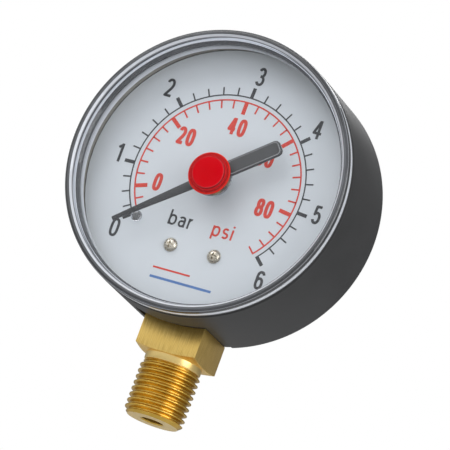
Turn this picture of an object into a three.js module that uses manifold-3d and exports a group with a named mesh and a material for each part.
// A dial pressure gauge of 63 mm nominal size with a Bourdon tube, a quadrant movement,
// a plastic case with a snap-in clear window, and a brass socket with a G 1/4 B thread.
//
// Millimetres. +Z points up along the stem, the dial faces -Y, and the origin is the centre
// of the stem's lower end face. The pointer's shaft runs along Y at height DIAL_Z.
import * as THREE from "three";
import { mergeVertices } from "three/addons/utils/BufferGeometryUtils.js";
import Module from "manifold-3d";

const wasm = await Module();
wasm.setup();

// ---------------------------------------------------------------- driving dimensions
const GAP = 0.05; // between pieces that sit together
const RUN = 0.06; // radial clearance of a turning shaft in its hole

const DIAL_Z = 51; // pointer shaft above the stem's end face

// Case, dial and window, along Y from the back to the front
const CASE_R = 31.3;
const CASE_WALL = 2;
const CASE_BACK_Y = 7;
const CASE_LIP_Y = -17.5;
const CASE_BORE_R = 29.65;
const CASE_EDGE_R = 1.4;
const DIAL_R = 29.55;
const DIAL_FRONT_Y = -11.5;
const DIAL_THICK = 0.8;
const WINDOW_FRONT_Y = -19.6;
const WINDOW_BACK_Y = -18.7;
const LENS_R = 29.6;
const WINDOW_WALL_R = 29.4;
const SKIRT_INNER_R = 28.75;
const RIM_FRONT_Y = -20.25;
const RIM_R = 31.25;
const SKIRT_END_Y = -14.5;

// Scale: angles clockwise from twelve o'clock
const REST_DEG = -128.7;
const FULL_SCALE_DEG = 262;

// Socket
const THREAD_R = 13.157 / 2;
const THREAD_ROOT_R = 11.445 / 2;
const THREAD_PITCH = 1.337;
const THREAD_TOP_Z = 12.2;
const STEM_CHAMFER = 0.95;
const COLLAR_R = 6.25;
const SQUARE = 14;
const SQUARE_LOW_Z = 13.75;
const SQUARE_CONE_SLOPE = 0.22; // rise of the turned underside per millimetre of radius
const SQUARE_TOP_R = 30.85; // from the pointer shaft to the square's hollowed top
const RELIEF_R = 30.8; // from the pointer shaft to the floor of the case's relief over the square
const RELIEF_HALF_X = 9;
const RELIEF_FRONT_Y = -9.2;
const BORE_R = 2.4;
const BORE_DEPTH = 12;
const CHANNEL_R = 1.2;
const NECK_HALF_X = 5.5;
const NECK_FRONT_Y = -2.4;
const NECK_TOP_Z = 40;

// Bourdon tube: angles clockwise from twelve o'clock
const TUBE_R = 19.5;
const TUBE_HALF_Y = 4;
const TUBE_HALF_R = 1.5;
const TUBE_WALL = 0.35;
const TUBE_ROOT_DEG = -172;
const TUBE_END_DEG = 112;
const TIP_END_DEG = 123;

// Movement
const PINION_TEETH = 12;
const SECTOR_TEETH = 96; // on a whole circle
const SECTOR_SPAN = [-2, 10]; // teeth present, counted clockwise from the line of centres
const CENTRES = 13.7;
const SECTOR_PIVOT_DEG = 151.2;
const GEAR_MODULE = (2 * CENTRES) / (PINION_TEETH + SECTOR_TEETH);
const TAIL_R = 4.5;
const TAIL_REST_DEG = 147.7;
const LINK_LENGTH = 8;
const PLATE = 1;
const REAR_PLATE_Y = -2.45; // back face of the rear plate
const FRONT_PLATE_Y = -8; // back face of the front plate
const ARBOR_R = 0.6;
const SECTOR_ARBOR_R = 0.7;
const PIN_R = 0.45;

// Pointer
const POINTER_Y = [-15.8, -15.2];
const NEEDLE_R = 23.2;
const TAIL_END_R = 16.05;
const NEEDLE_TIP_HALF_W = 0.41;
const NEEDLE_ROOT_HALF_W = 1.18;
const TAIL_HALF_W = 1.78;
const HUB_R = 4.2;
const CAP_FRONT_Y = -18.4;
const CAP_FACE_R = 3.45;
const CAP_R = 4.65;
const CAP_NECK_R = 3.6;

// Screws and pin on the dial
const DIAL_SCREW_X = 5.12;
const DIAL_SCREW_DROP = 15.75;
const DIAL_SCREW_R = 0.9;
const DIAL_SCREW_HEAD = 0.95;
const STOP_PIN_R = 1.25;
const STOP_PIN_FRONT_Y = -12.8;
const STOP_PIN_RADIUS = 18.8;
const STOP_PIN_DEG = -128.5;

// Screws through the case's back into the socket's neck
const CASE_SCREW_X = 3.6;
const CASE_SCREW_Z = 25;
const CASE_SCREW_R = 1.25;

const MATERIALS = {
  case: { color: 0x37383a, roughness: 0.42, metalness: 0 },
  window: { color: 0xb9c0c8, roughness: 0.08, metalness: 0 },
  dial: { color: 0xd3d6da, roughness: 0.5, metalness: 0 },
  brass: { color: 0xb8934a, roughness: 0.35, metalness: 1 },
  bronze: { color: 0xa97142, roughness: 0.35, metalness: 1 },
  steel: { color: 0xc9c4b8, roughness: 0.3, metalness: 1 },
  pointer: { color: 0x46484a, roughness: 0.5, metalness: 0 },
  cap: { color: 0xc8141c, roughness: 0.25, metalness: 0 },
  pin: { color: 0x8f9496, roughness: 0.25, metalness: 0 },
};

// ---------------------------------------------------------------- geometry helpers
const rad = (deg) => (deg * Math.PI) / 180;

// A point at a clock angle around the pointer shaft: [x, height above the shaft].
const clock = (r, deg) => [r * Math.sin(rad(deg)), r * Math.cos(rad(deg))];

function signedVolume(geometry) {
  const p = geometry.getAttribute("position");
  const a = new THREE.Vector3();
  const b = new THREE.Vector3();
  const c = new THREE.Vector3();
  let sum = 0;
  for (let i = 0; i < geometry.index.count; i += 3) {
    a.fromBufferAttribute(p, geometry.index.getX(i));
    b.fromBufferAttribute(p, geometry.index.getX(i + 1));
    c.fromBufferAttribute(p, geometry.index.getX(i + 2));
    sum += a.dot(b.cross(c));
  }
  return sum;
}

// Closed mesh geometry to a manifold solid with its faces pointing out.
function solid(geometry) {
  const bare = geometry.clone();
  bare.deleteAttribute("normal");
  bare.deleteAttribute("uv");
  const merged = mergeVertices(bare, 1e-4);
  const triVerts = new Uint32Array(merged.index.array);
  if (signedVolume(merged) < 0) {
    for (let i = 0; i < triVerts.length; i += 3) {
      [triVerts[i + 1], triVerts[i + 2]] = [triVerts[i + 2], triVerts[i + 1]];
    }
  }
  const vertProperties = new Float32Array(merged.getAttribute("position").array);
  return new wasm.Manifold(new wasm.Mesh({ numProp: 3, vertProperties, triVerts }));
}

function geometryOf(manifold) {
  const mesh = manifold.getMesh();
  const geometry = new THREE.BufferGeometry();
  geometry.setAttribute("position", new THREE.BufferAttribute(mesh.vertProperties, 3));
  geometry.setIndex(new THREE.BufferAttribute(mesh.triVerts, 1));
  geometry.computeVertexNormals();
  return geometry;
}

const join = (first, ...rest) => rest.reduce((sum, piece) => sum.add(piece), first);
const cut = (first, ...rest) => rest.reduce((sum, piece) => sum.subtract(piece), first);

// Sides of a turned piece, by its largest radius.
function sidesFor(r) {
  if (r > 10) return 64;
  if (r > 3) return 28;
  return r > 1.2 ? 18 : 12;
}

function lathe(profile) {
  const points = profile.map(([r, along]) => new THREE.Vector2(r, along));
  const largest = Math.max(...profile.map(([r]) => r));
  return new THREE.LatheGeometry(points, sidesFor(largest));
}

// A turned piece on the pointer's axis, or on a parallel one at (x, up) from it.
// The profile is a list of [radius, y].
function turned(profile, [x, up] = [0, 0]) {
  const geometry = lathe(profile);
  geometry.translate(x, 0, DIAL_Z + up);
  return solid(geometry);
}

// A plain rod or disc along Y.
function rod(r, y0, y1, centre = [0, 0]) {
  return turned([[0, y0], [r, y0], [r, y1], [0, y1]], centre);
}

// A turned piece on the stem's axis. The profile is a list of [radius, z].
function stemTurned(profile) {
  const geometry = lathe(profile);
  geometry.rotateX(Math.PI / 2);
  return solid(geometry);
}

// A flat plate cut from a shape drawn as x and height above the pointer shaft.
function plate(shape, y0, y1) {
  const options = { depth: y1 - y0, bevelEnabled: false, curveSegments: 4 };
  const geometry = new THREE.ExtrudeGeometry(shape, options);
  geometry.rotateX(Math.PI / 2);
  geometry.translate(0, y1, DIAL_Z);
  return solid(geometry);
}

function block([x0, y0, z0], [x1, y1, z1]) {
  const geometry = new THREE.BoxGeometry(x1 - x0, y1 - y0, z1 - z0);
  geometry.translate((x0 + x1) / 2, (y0 + y1) / 2, (z0 + z1) / 2);
  return solid(geometry);
}

// Profile points of a quarter-round corner between two directions, as [radius, y].
function corner(centreR, centreY, radius, fromDeg, toDeg, steps) {
  const points = [];
  for (let i = 0; i <= steps; i++) {
    const a = rad(fromDeg + ((toDeg - fromDeg) * i) / steps);
    points.push([centreR + radius * Math.cos(a), centreY + radius * Math.sin(a)]);
  }
  return points;
}

function shapeOf(points) {
  return new THREE.Shape(points.map(([x, y]) => new THREE.Vector2(x, y)));
}

// ---------------------------------------------------------------- the scene graph
const gauge = new THREE.Group();
gauge.name = "pressure_gauge";

function place(name, material, piece, parent = gauge) {
  const mesh = new THREE.Mesh(
    geometryOf(piece),
    new THREE.MeshStandardMaterial(MATERIALS[material]),
  );
  mesh.name = name;
  parent.add(mesh);
  return mesh;
}

// ---------------------------------------------------------------- case, window and dial
function caseScrewHoles() {
  const holes = [-1, 1].map((side) => {
    const centre = [side * CASE_SCREW_X, CASE_SCREW_Z - DIAL_Z];
    return turned(countersunkProfile(0.12), centre);
  });
  return join(...holes);
}

function makeCase() {
  const innerBackY = CASE_BACK_Y - CASE_WALL;
  const edge = corner(CASE_R - CASE_EDGE_R, CASE_BACK_Y - CASE_EDGE_R, CASE_EDGE_R, 90, 0, 4);
  const shell = turned(
    [
      [0, CASE_BACK_Y],
      ...edge,
      [CASE_R, CASE_LIP_Y + 0.25],
      [CASE_R - 0.25, CASE_LIP_Y],
      [CASE_BORE_R, CASE_LIP_Y],
      [CASE_BORE_R, innerBackY - 0.8],
      [CASE_BORE_R - 0.8, innerBackY],
      [0, innerBackY],
    ],
  );
  const neckHole = block(
    [-NECK_HALF_X - 0.15, NECK_FRONT_Y - 0.15, DIAL_Z - CASE_R - 2],
    [NECK_HALF_X + 0.15, innerBackY, DIAL_Z - CASE_BORE_R + 2],
  );
  const reliefBox = block(
    [-RELIEF_HALF_X, RELIEF_FRONT_Y, DIAL_Z - CASE_R - 2],
    [RELIEF_HALF_X, CASE_BACK_Y + 1, DIAL_Z],
  );
  const relief = cut(reliefBox, rod(RELIEF_R, RELIEF_FRONT_Y - 1, CASE_BACK_Y + 2));
  place("case_shell", "case", cut(shell, neckHole, relief, caseScrewHoles()));
}

// Flat head, cone and shank of a countersunk screw, grown by a clearance.
function countersunkProfile(clearance) {
  const headR = 2.3;
  const coneDepth = 1.1;
  return [
    [0, CASE_BACK_Y + (clearance ? 1 : -0.1)],
    [headR + clearance, CASE_BACK_Y + (clearance ? 1 : -0.1)],
    [headR + clearance, CASE_BACK_Y - 0.3],
    [CASE_SCREW_R + clearance, CASE_BACK_Y - 0.3 - coneDepth],
    [CASE_SCREW_R + clearance, 0.9 - clearance],
    [0, 0.3 - clearance],
  ];
}

function crossRecess(centre, faceY, depth, width, length, backwards) {
  const [x, up] = centre;
  const y0 = backwards ? faceY - depth : faceY - 1;
  const y1 = backwards ? faceY + 1 : faceY + depth;
  const half = width / 2;
  const arm = length / 2;
  const z = DIAL_Z + up;
  return join(
    block([x - arm, y0, z - half], [x + arm, y1, z + half]),
    block([x - half, y0, z - arm], [x + half, y1, z + arm]),
  );
}

function makeCaseScrews() {
  for (const [name, side] of [["left", -1], ["right", 1]]) {
    const centre = [side * CASE_SCREW_X, CASE_SCREW_Z - DIAL_Z];
    const screw = turned(countersunkProfile(0), centre);
    const recess = crossRecess(centre, CASE_BACK_Y - 0.1, 0.9, 0.6, 2.6, true);
    place("case_screw_" + name, "steel", cut(screw, recess));
  }
}

function makeWindow() {
  const skirtR = CASE_BORE_R - GAP;
  const seatY = CASE_LIP_Y - GAP;
  const window = turned(
    [
      [0, WINDOW_FRONT_Y],
      [LENS_R, WINDOW_FRONT_Y],
      [LENS_R + 0.25, WINDOW_FRONT_Y - 0.3],
      [LENS_R + 0.6, RIM_FRONT_Y],
      [RIM_R - 0.4, RIM_FRONT_Y],
      [RIM_R - 0.1, RIM_FRONT_Y + 0.4],
      [RIM_R, RIM_FRONT_Y + 0.9],
      [RIM_R, seatY],
      [skirtR, seatY],
      [skirtR, SKIRT_END_Y],
      [SKIRT_INNER_R, SKIRT_END_Y],
      [SKIRT_INNER_R, seatY],
      [WINDOW_WALL_R, seatY - 0.5],
      [WINDOW_WALL_R, WINDOW_BACK_Y],
      [0, WINDOW_BACK_Y],
    ],
  );
  place("window", "window", window);
}

const dialScrewCentre = (side) => [side * DIAL_SCREW_X, -DIAL_SCREW_DROP];
const stopPinCentre = clock(STOP_PIN_RADIUS, STOP_PIN_DEG);

function makeDial() {
  const y0 = DIAL_FRONT_Y;
  const y1 = DIAL_FRONT_Y + DIAL_THICK;
  const disc = rod(DIAL_R, y0, y1);
  const through = (r, centre) => rod(r, y0 - 1, y1 + 1, centre);
  const holes = [
    through(2.8, [0, 0]),
    through(DIAL_SCREW_R + 0.15, dialScrewCentre(-1)),
    through(DIAL_SCREW_R + 0.15, dialScrewCentre(1)),
    through(0.75, stopPinCentre),
  ];
  place("dial_plate", "dial", cut(disc, ...holes));
}

function makeDialScrews() {
  const headBackY = DIAL_FRONT_Y - GAP;
  const headR = 1.55;
  for (const [name, side] of [["left", -1], ["right", 1]]) {
    const centre = dialScrewCentre(side);
    const screw = turned(
      [
        [0, headBackY - DIAL_SCREW_HEAD],
        [0.6, headBackY - DIAL_SCREW_HEAD + 0.05],
        [1.1, headBackY - 0.7],
        [headR, headBackY - 0.25],
        [headR, headBackY],
        [DIAL_SCREW_R, headBackY],
        [DIAL_SCREW_R, FRONT_PLATE_Y - 0.5],
        [0, FRONT_PLATE_Y - 0.2],
      ],
      centre,
    );
    const recess = crossRecess(centre, headBackY - DIAL_SCREW_HEAD, 0.55, 0.42, 1.7, false);
    place("dial_screw_" + name, "steel", cut(screw, recess));
  }
}

function makeStopPin() {
  const seatY = DIAL_FRONT_Y - GAP;
  const pin = turned(
    [
      [0, STOP_PIN_FRONT_Y],
      [0.75, STOP_PIN_FRONT_Y + 0.1],
      [1.05, STOP_PIN_FRONT_Y + 0.35],
      [STOP_PIN_R, STOP_PIN_FRONT_Y + 0.8],
      [STOP_PIN_R, seatY],
      [0.7, seatY],
      [0.7, DIAL_FRONT_Y + DIAL_THICK + 0.3],
      [0, DIAL_FRONT_Y + DIAL_THICK + 0.3],
    ],
    stopPinCentre,
  );
  place("stop_pin", "pin", pin);
}

// ---------------------------------------------------------------- socket
// The thread's surface is a grid whose rows follow the helix: each turn has four rows, for
// the edges of the crest and of the root, and a column joins itself one turn higher.
function threadedRod(z0, z1) {
  const columns = 28;
  const turns = Math.ceil((z1 - z0) / THREAD_PITCH) + 3;
  const start = z0 - 1.5 * THREAD_PITCH;
  const rows = [
    [0, THREAD_ROOT_R],
    [0.18, THREAD_ROOT_R],
    [0.5, THREAD_R],
    [0.68, THREAD_R],
  ];
  const positions = [];
  const ring = columns + 1;
  for (let t = 0; t < turns; t++) {
    for (const [part, r] of rows) {
      for (let i = 0; i <= columns; i++) {
        const a = (2 * Math.PI * i) / columns;
        // Seen from below, a right-hand thread climbs anticlockwise around +Z.
        const z = start + THREAD_PITCH * (t + part + i / columns);
        positions.push(r * Math.cos(a), r * Math.sin(a), z);
      }
    }
  }
  const index = [];
  const rowCount = turns * rows.length;
  const at = (row, i) => row * ring + i;
  for (let row = 0; row < rowCount - 1; row++) {
    for (let i = 0; i < columns; i++) {
      index.push(at(row, i), at(row, i + 1), at(row + 1, i + 1));
      index.push(at(row, i), at(row + 1, i + 1), at(row + 1, i));
    }
  }
  const lowCentre = positions.length / 3;
  positions.push(0, 0, start - THREAD_PITCH);
  const highCentre = lowCentre + 1;
  positions.push(0, 0, start + THREAD_PITCH * (turns + 1));
  for (let i = 0; i < columns; i++) {
    index.push(lowCentre, at(0, i + 1), at(0, i));
    index.push(highCentre, at(rowCount - 1, i), at(rowCount - 1, i + 1));
  }
  for (let row = 0; row < rows.length; row++) {
    index.push(lowCentre, at(row, 0), at(row + 1, 0));
    const high = rowCount - 1 - row;
    index.push(highCentre, at(high, columns), at(high - 1, columns));
  }
  const geometry = new THREE.BufferGeometry();
  geometry.setAttribute("position", new THREE.Float32BufferAttribute(positions, 3));
  geometry.setIndex(index);
  const endR = THREAD_R - STEM_CHAMFER;
  const trim = stemTurned(
    [
      [0, z0],
      [endR, z0],
      [THREAD_R + 0.3, z0 + STEM_CHAMFER + 0.3],
      [THREAD_R + 0.3, z1],
      [0, z1],
    ],
  );
  return solid(geometry).intersect(trim);
}

// The Bourdon tube's outer or inner skin as a solid ring segment.
function tubeSegment(halfR, halfY, fromDeg, toDeg, steps) {
  const points = [];
  const sides = 12;
  for (let i = 0; i < sides; i++) {
    const a = (2 * Math.PI * i) / sides;
    points.push(new THREE.Vector2(halfR * Math.cos(a), halfY * Math.sin(a)));
  }
  const path = new ClockArc(TUBE_R, fromDeg, toDeg);
  const options = { steps, extrudePath: path, bevelEnabled: false };
  return solid(new THREE.ExtrudeGeometry(new THREE.Shape(points), options));
}

// An arc around the pointer shaft, at stem depth, with angles clockwise from twelve o'clock.
class ClockArc extends THREE.Curve {
  constructor(r, fromDeg, toDeg) {
    super();
    this.r = r;
    this.fromDeg = fromDeg;
    this.toDeg = toDeg;
  }
  getPoint(t, target = new THREE.Vector3()) {
    const [x, up] = clock(this.r, this.fromDeg + (this.toDeg - this.fromDeg) * t);
    return target.set(x, 0, DIAL_Z + up);
  }
  // The radial direction is the section's first axis all the way round.
  computeFrenetFrames(segments) {
    const tangents = [];
    const normals = [];
    const binormals = [];
    for (let i = 0; i <= segments; i++) {
      const deg = this.fromDeg + ((this.toDeg - this.fromDeg) * i) / segments;
      const [x, up] = clock(1, deg);
      tangents.push(new THREE.Vector3(up, 0, -x));
      normals.push(new THREE.Vector3(x, 0, up));
      binormals.push(new THREE.Vector3(0, 1, 0));
    }
    return { tangents, normals, binormals };
  }
}

function makeSocket() {
  const half = SQUARE / 2;
  const square = block([-half, -half, SQUARE_LOW_Z], [half, half, DIAL_Z - CASE_R + 3]);
  const coneR = SQUARE; // beyond the square's corners
  const cone = stemTurned(
    [
      [0, SQUARE_LOW_Z],
      [half, SQUARE_LOW_Z],
      [coneR, SQUARE_LOW_Z + SQUARE_CONE_SLOPE * (coneR - half)],
      [coneR, DIAL_Z],
      [0, DIAL_Z],
    ],
  );
  const underCase = rod(SQUARE_TOP_R, -SQUARE, SQUARE);
  const flats = cut(square.intersect(cone), underCase);
  const neckBackY = CASE_BACK_Y - CASE_WALL - GAP;
  const neck = block(
    [-NECK_HALF_X, NECK_FRONT_Y, SQUARE_LOW_Z + 1],
    [NECK_HALF_X, neckBackY, NECK_TOP_Z],
  );
  const collar = stemTurned(
    [
      [0, THREAD_TOP_Z - 0.4],
      [THREAD_ROOT_R - 0.1, THREAD_TOP_Z - 0.4],
      [COLLAR_R, THREAD_TOP_Z + 0.1],
      [COLLAR_R, SQUARE_LOW_Z + 0.5],
      [0, SQUARE_LOW_Z + 0.5],
    ],
  );
  const bore = stemTurned(
    [
      [0, -1],
      [BORE_R, -1],
      [BORE_R, BORE_DEPTH - 1.2],
      [CHANNEL_R, BORE_DEPTH],
      [CHANNEL_R, DIAL_Z - TUBE_R + 0.6],
      [0, DIAL_Z - TUBE_R + 0.6],
    ],
  );
  const crossDrilling = block(
    [-3.2, -0.8, DIAL_Z - TUBE_R - 0.8],
    [0.4, 0.8, DIAL_Z - TUBE_R + 0.6],
  );
  const tubeSlot = tubeSegment(
    TUBE_HALF_R + 0.15, TUBE_HALF_Y + 0.15, TUBE_ROOT_DEG - 0.5, TUBE_ROOT_DEG + 20, 6,
  );
  const movementScrewHoles = [-1, 1].map((side) =>
    rod(0.95, NECK_FRONT_Y - 1, 1.2, movementScrewCentre(side)),
  );
  const body = join(threadedRod(0, THREAD_TOP_Z), collar, flats, neck);
  const socket = cut(
    body, bore, crossDrilling, tubeSlot, caseScrewHoles(), ...movementScrewHoles,
  );
  place("socket", "brass", socket);
}

// ---------------------------------------------------------------- Bourdon tube and its end piece
function makeTube() {
  const steps = 24;
  const outside = tubeSegment(TUBE_HALF_R, TUBE_HALF_Y, TUBE_ROOT_DEG, TUBE_END_DEG, steps);
  const inside = tubeSegment(
    TUBE_HALF_R - TUBE_WALL, TUBE_HALF_Y - TUBE_WALL,
    TUBE_ROOT_DEG - 1, TUBE_END_DEG + 1, steps,
  );
  place("bourdon_tube", "bronze", cut(outside, inside));
}

// The pins of the link at rest, as x and height above the pointer shaft.
const sectorPivot = clock(CENTRES, SECTOR_PIVOT_DEG);
const tailArm = clock(TAIL_R, TAIL_REST_DEG);
const tailPin = [sectorPivot[0] + tailArm[0], sectorPivot[1] + tailArm[1]];
// The link lies along the chord that the tail pin travels.
const sectorTravel = FULL_SCALE_DEG * (PINION_TEETH / SECTOR_TEETH);
const linkDeg = TAIL_REST_DEG - sectorTravel / 2 - 90;
const linkArm = clock(LINK_LENGTH, linkDeg);
const tipPin = [tailPin[0] + linkArm[0], tailPin[1] + linkArm[1]];

function makeTipPiece(parent) {
  const body = tubeSegment(TUBE_HALF_R + 0.25, TUBE_HALF_Y, TUBE_END_DEG + 0.4, TIP_END_DEG, 3);
  const boss = rod(1.5, -TUBE_HALF_Y - 0.1, 0, tipPin);
  const web = plate(
    shapeOf([
      clock(TUBE_R, TIP_END_DEG - 7),
      clock(TUBE_R, TIP_END_DEG - 0.5),
      [tipPin[0] + 0.6, tipPin[1] - 1],
      [tipPin[0] - 0.2, tipPin[1] + 1],
    ]),
    -2.6,
    -0.4,
  );
  const pinHole = rod(PIN_R + GAP, -TUBE_HALF_Y - 1, -1, tipPin);
  place("tube_end_piece", "brass", cut(join(body, boss, web), pinHole), parent);
}

// ---------------------------------------------------------------- movement
const LINK_Y = [-5.1, -4.3];
const SECTOR_Y = [-6.6, -5.35];
const PINION_Y = [-6.95, -5.0];

const movementScrewCentre = (side) => [side * 3.8, -13.4];
const pillarCentres = [[-6.5, -12.6], [7.6, 2.4], [-6.6, 3.2]];

// Straight-sided teeth, thinner than the gap they enter.
function toothPoints(pitchR, toothDeg, sense, centreDeg) {
  const addendum = 0.75 * GEAR_MODULE;
  const dedendum = 1.15 * GEAR_MODULE;
  const root = 0.27 * toothDeg * sense;
  const mid = 0.19 * toothDeg * sense;
  const tip = 0.1 * toothDeg * sense;
  return [
    clock(pitchR - dedendum, centreDeg - root),
    clock(pitchR, centreDeg - mid),
    clock(pitchR + addendum, centreDeg - tip),
    clock(pitchR + addendum, centreDeg + tip),
    clock(pitchR, centreDeg + mid),
    clock(pitchR - dedendum, centreDeg + root),
  ];
}

function makePinionArbor(parent) {
  const pitchR = (GEAR_MODULE * PINION_TEETH) / 2;
  const toothDeg = 360 / PINION_TEETH;
  const points = [];
  for (let k = 0; k < PINION_TEETH; k++) {
    // A gap, not a tooth, faces the sector's pivot.
    const centreDeg = SECTOR_PIVOT_DEG + (k + 0.5) * toothDeg;
    points.push(...toothPoints(pitchR, toothDeg, 1, centreDeg));
  }
  const pinion = plate(shapeOf(points), PINION_Y[0], PINION_Y[1]);
  const arbor = turned(
    [
      [0, REAR_PLATE_Y - 0.1],
      [ARBOR_R, REAR_PLATE_Y - 0.1],
      [ARBOR_R, POINTER_Y[0] + 1],
      [0.5, POINTER_Y[0] - 0.2],
      [0, POINTER_Y[0] - 0.2],
    ],
  );
  place("pinion_arbor", "steel", join(pinion, arbor), parent);
}

function makeSector(parent) {
  const pitchR = (GEAR_MODULE * SECTOR_TEETH) / 2;
  const toothDeg = 360 / SECTOR_TEETH;
  const towardPinion = SECTOR_PIVOT_DEG - 180;
  const [first, last] = SECTOR_SPAN;
  const rim = [];
  for (let k = first; k <= last; k++) {
    rim.push(...toothPoints(pitchR, toothDeg, 1, towardPinion + k * toothDeg));
  }
  const lowDeg = towardPinion + (first - 0.5) * toothDeg;
  const highDeg = towardPinion + (last + 0.5) * toothDeg;
  const innerR = pitchR - 2;
  const inner = [];
  for (let i = 0; i <= 6; i++) {
    inner.push(clock(innerR, highDeg + ((lowDeg - highDeg) * i) / 6));
  }
  const move = ([x, up]) => [x + sectorPivot[0], up + sectorPivot[1]];
  const ring = plate(shapeOf([...rim, ...inner].map(move)), ...SECTOR_Y);
  const spoke = (deg, length, rootW, endW) => {
    const dir = clock(1, deg);
    const side = [dir[1], -dir[0]];
    const point = (along, across) => [
      dir[0] * along + side[0] * across,
      dir[1] * along + side[1] * across,
    ];
    const outline = [point(0, -rootW), point(length, -endW), point(length, endW), point(0, rootW)];
    return plate(shapeOf(outline.map(move)), ...SECTOR_Y);
  };
  const hub = rod(2.1, SECTOR_Y[0], SECTOR_Y[1], sectorPivot);
  const tailEnd = rod(1.15, SECTOR_Y[0], SECTOR_Y[1], tailPin);
  const blank = join(
    ring,
    spoke(lowDeg + 3, innerR + 0.5, 0.9, 0.6),
    spoke(highDeg - 3, innerR + 0.5, 0.9, 0.6),
    spoke(TAIL_REST_DEG, TAIL_R, 1.3, 1),
    hub,
    tailEnd,
  );
  const holes = [
    rod(SECTOR_ARBOR_R + 0.02, SECTOR_Y[0] - 1, SECTOR_Y[1] + 1, sectorPivot),
    rod(PIN_R + 0.03, SECTOR_Y[0] - 1, SECTOR_Y[1] + 1, tailPin),
  ];
  place("sector_gear", "brass", cut(blank, ...holes), parent);
  const arbor = rod(
    SECTOR_ARBOR_R, FRONT_PLATE_Y - PLATE + 0.1, REAR_PLATE_Y - 0.1, sectorPivot,
  );
  place("sector_arbor", "steel", arbor, parent);
}

// A shouldered pin with a round head on its front end.
function headedPin(centre, headY, shankEndY) {
  return turned(
    [
      [0, headY - 0.35],
      [0.75, headY - 0.35],
      [0.95, headY - 0.15],
      [0.95, headY],
      [PIN_R, headY],
      [PIN_R, shankEndY],
      [0, shankEndY],
    ],
    centre,
  );
}

function makeLink(parent) {
  const eyeR = 1.2;
  const eyes = [tailPin, tipPin].map((c) => rod(eyeR, LINK_Y[0], LINK_Y[1], c));
  const [dx, dz] = clock(0.65, linkDeg + 90);
  const bar = plate(
    shapeOf([
      [tailPin[0] - dx, tailPin[1] - dz],
      [tailPin[0] + dx, tailPin[1] + dz],
      [tipPin[0] + dx, tipPin[1] + dz],
      [tipPin[0] - dx, tipPin[1] - dz],
    ]),
    ...LINK_Y,
  );
  const tailHole = rod(PIN_R + RUN, LINK_Y[0] - 1, LINK_Y[1] + 1, tailPin);
  // The end on the tube is the linkage's open pivot, so its hole is wider.
  const tipHole = rod(PIN_R + 0.22, LINK_Y[0] - 1, LINK_Y[1] + 1, tipPin);
  place("link", "steel", cut(join(eyes[0], bar, eyes[1]), tailHole, tipHole), parent);
}

function plateOutline() {
  const outline = new THREE.Shape();
  outline.moveTo(-8, 4.5);
  outline.lineTo(8.6, 4.5);
  outline.quadraticCurveTo(9.4, 4.5, 9.4, 3.7);
  outline.lineTo(9.4, -12.6);
  outline.quadraticCurveTo(9.4, -14, 8, -14.6);
  outline.lineTo(6.4, -15.6);
  outline.lineTo(-6.4, -15.6);
  outline.quadraticCurveTo(-8.4, -15, -8.4, -13);
  outline.lineTo(-8.4, 3.6);
  outline.quadraticCurveTo(-8.4, 4.5, -8, 4.5);
  return outline;
}

function makePlates() {
  const rearFront = REAR_PLATE_Y - PLATE;
  const frontFront = FRONT_PLATE_Y - PLATE;
  const bearings = (y0, y1) => [
    rod(ARBOR_R + RUN, y0 - 1, y1 + 1),
    rod(SECTOR_ARBOR_R + RUN, y0 - 1, y1 + 1, sectorPivot),
  ];
  const pillarHoles = (y0, y1) => pillarCentres.map((c) => rod(0.65, y0 - 1, y1 + 1, c));
  const screwHoles = [-1, 1].map((side) =>
    rod(1.1, rearFront - 1, REAR_PLATE_Y + 1, movementScrewCentre(side)),
  );
  const rear = cut(
    plate(plateOutline(), rearFront, REAR_PLATE_Y),
    ...bearings(rearFront, REAR_PLATE_Y),
    ...pillarHoles(rearFront, REAR_PLATE_Y),
    ...screwHoles,
  );
  place("movement_plate_rear", "brass", rear);

  // Two feet carry the dial, and their threaded holes take its screws.
  const footFront = DIAL_FRONT_Y + DIAL_THICK + GAP;
  const feet = [-1, 1].map((side) =>
    rod(1.9, footFront, FRONT_PLATE_Y, dialScrewCentre(side)),
  );
  const footHoles = [-1, 1].map((side) =>
    rod(DIAL_SCREW_R + 0.05, footFront - 1, FRONT_PLATE_Y + 1, dialScrewCentre(side)),
  );
  const front = cut(
    join(plate(plateOutline(), frontFront, FRONT_PLATE_Y), ...feet),
    ...bearings(frontFront, FRONT_PLATE_Y),
    ...pillarHoles(frontFront, FRONT_PLATE_Y),
    ...footHoles,
  );
  place("movement_plate_front", "brass", front);

  pillarCentres.forEach((centre, i) => {
    const pillar = turned(
      [
        [0, frontFront - 0.3],
        [0.6, frontFront - 0.3],
        [0.6, FRONT_PLATE_Y + GAP],
        [1, FRONT_PLATE_Y + GAP],
        [1, rearFront - GAP],
        [0.6, rearFront - GAP],
        [0.6, REAR_PLATE_Y - 0.1],
        [0, REAR_PLATE_Y - 0.1],
      ],
      centre,
    );
    place("pillar_" + (i + 1), "brass", pillar);
  });

  for (const [name, side] of [["left", -1], ["right", 1]]) {
    const headY = rearFront - GAP;
    const screw = turned(
      [
        [0, headY - 0.7],
        [1.3, headY - 0.7],
        [1.6, headY - 0.45],
        [1.6, headY],
        [0.9, headY],
        [0.9, 0.7],
        [0, 1.1],
      ],
      movementScrewCentre(side),
    );
    place("movement_screw_" + name, "steel", screw);
  }
}

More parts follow.
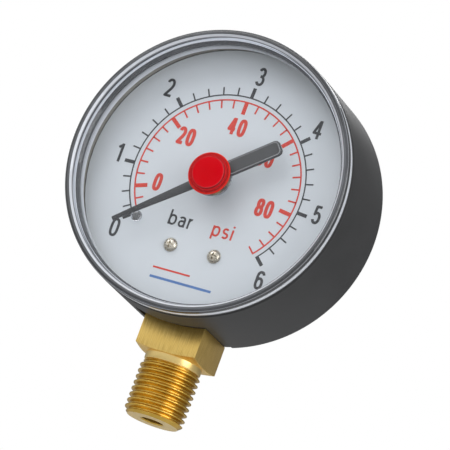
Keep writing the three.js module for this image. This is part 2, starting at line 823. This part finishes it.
function makeHairspring(parent) {
  const y = [-7.65, -7.15];
  const turns = 4.5;
  const innerR = 1.75;
  const outerR = 5.4;
  const ribbon = 0.16;
  const steps = 64;
  const inner = [];
  const outer = [];
  for (let i = 0; i <= steps; i++) {
    const t = i / steps;
    const r = innerR + (outerR - innerR) * t;
    const deg = 360 * turns * (t - 1);
    inner.push(clock(r - ribbon / 2, deg));
    outer.push(clock(r + ribbon / 2, deg));
  }
  place("hairspring", "bronze", plate(shapeOf([...outer, ...inner.reverse()]), ...y));
  const stud = rod(0.6, FRONT_PLATE_Y + GAP, -6.9, clock(outerR + 0.9, 0));
  place("hairspring_stud", "brass", stud);
  const collet = turned(
    [
      [ARBOR_R + 0.03, y[0]],
      [1.4, y[0]],
      [1.4, y[1]],
      [ARBOR_R + 0.03, y[1]],
      [ARBOR_R + 0.03, y[0]],
    ],
  );
  place("hairspring_collet", "brass", collet, parent);
}

// ---------------------------------------------------------------- pointer
function pointerOutline() {
  const radius = 0.95;
  const outline = new THREE.Shape();
  outline.moveTo(-NEEDLE_TIP_HALF_W, NEEDLE_R - NEEDLE_TIP_HALF_W);
  outline.lineTo(0, NEEDLE_R);
  outline.lineTo(NEEDLE_TIP_HALF_W, NEEDLE_R - NEEDLE_TIP_HALF_W);
  outline.lineTo(NEEDLE_ROOT_HALF_W, 0);
  outline.lineTo(TAIL_HALF_W, 0);
  outline.lineTo(TAIL_HALF_W, -TAIL_END_R + radius);
  outline.quadraticCurveTo(TAIL_HALF_W, -TAIL_END_R, TAIL_HALF_W - radius, -TAIL_END_R);
  outline.lineTo(-TAIL_HALF_W + radius, -TAIL_END_R);
  outline.quadraticCurveTo(-TAIL_HALF_W, -TAIL_END_R, -TAIL_HALF_W, -TAIL_END_R + radius);
  outline.lineTo(-TAIL_HALF_W, 0);
  outline.lineTo(-NEEDLE_ROOT_HALF_W, 0);
  outline.closePath();
  return outline;
}

function makePointer(parent) {
  const [frontY, backY] = POINTER_Y;
  const blade = plate(pointerOutline(), frontY, backY);
  const eye = rod(3.4, frontY, backY);
  const hole = rod(0.65, frontY - 1, backY + 1);
  // The blade is modelled upright on the pointer shaft and turned to its rest angle.
  const turn = new THREE.Group();
  turn.position.z = DIAL_Z;
  turn.rotation.y = rad(REST_DEG);
  parent.add(turn);
  const mesh = place("pointer", "pointer", cut(join(blade, eye), hole), turn);
  mesh.position.z = -DIAL_Z;
}

function makePointerBush(parent) {
  const frontY = POINTER_Y[1] + GAP;
  const bush = turned(
    [
      [ARBOR_R + 0.02, frontY],
      [HUB_R - 0.15, frontY],
      [HUB_R, frontY + 0.15],
      [HUB_R, frontY + 0.45],
      [HUB_R - 0.2, frontY + 0.65],
      [2.2, frontY + 0.65],
      [2, frontY + 2.6],
      [ARBOR_R + 0.02, frontY + 2.6],
      [ARBOR_R + 0.02, frontY],
    ],
  );
  place("pointer_bush", "pin", bush, parent);
}

function makeHubCap(parent) {
  const backY = POINTER_Y[0] - GAP;
  const cap = turned(
    [
      [0, CAP_FRONT_Y],
      [CAP_FACE_R, CAP_FRONT_Y],
      [CAP_FACE_R + 0.15, CAP_FRONT_Y + 0.2],
      [CAP_FACE_R + 0.45, CAP_FRONT_Y + 0.3],
      [CAP_FACE_R + 0.55, CAP_FRONT_Y + 0.5],
      [CAP_R - 0.2, CAP_FRONT_Y + 0.55],
      [CAP_R, CAP_FRONT_Y + 0.75],
      [CAP_R, CAP_FRONT_Y + 1],
      [CAP_R - 0.15, CAP_FRONT_Y + 1.15],
      [CAP_NECK_R, CAP_FRONT_Y + 1.25],
      [CAP_NECK_R, backY],
      [0.9, backY],
      [0.9, backY - 0.5],
      [0, backY - 0.5],
    ],
  );
  place("hub_cap", "cap", cap, parent);
}

// ---------------------------------------------------------------- assembly
makeCase();
makeCaseScrews();
makeWindow();
makeDial();
makeDialScrews();
makeStopPin();
makeSocket();
makeTube();
makePlates();

// Everything in this group turns with the pinion.
const pointerGroup = new THREE.Group();
gauge.add(pointerGroup);
makePinionArbor(pointerGroup);
makeHairspring(pointerGroup);
makePointerBush(pointerGroup);
makePointer(pointerGroup);
makeHubCap(pointerGroup);

// The toothed sector, with the screw of the link's inner end.
const sectorGroup = new THREE.Group();
gauge.add(sectorGroup);
makeSector(sectorGroup);
place("link_screw_sector", "steel", headedPin(tailPin, SECTOR_Y[0] - GAP, -4.2), sectorGroup);

const linkGroup = new THREE.Group();
gauge.add(linkGroup);
makeLink(linkGroup);

// The tube's free end, with the screw of the link's outer end.
const tipGroup = new THREE.Group();
gauge.add(tipGroup);
makeTipPiece(tipGroup);
place("link_screw_tip", "steel", headedPin(tipPin, LINK_Y[0] - GAP, -1.2), tipGroup);

export default gauge;
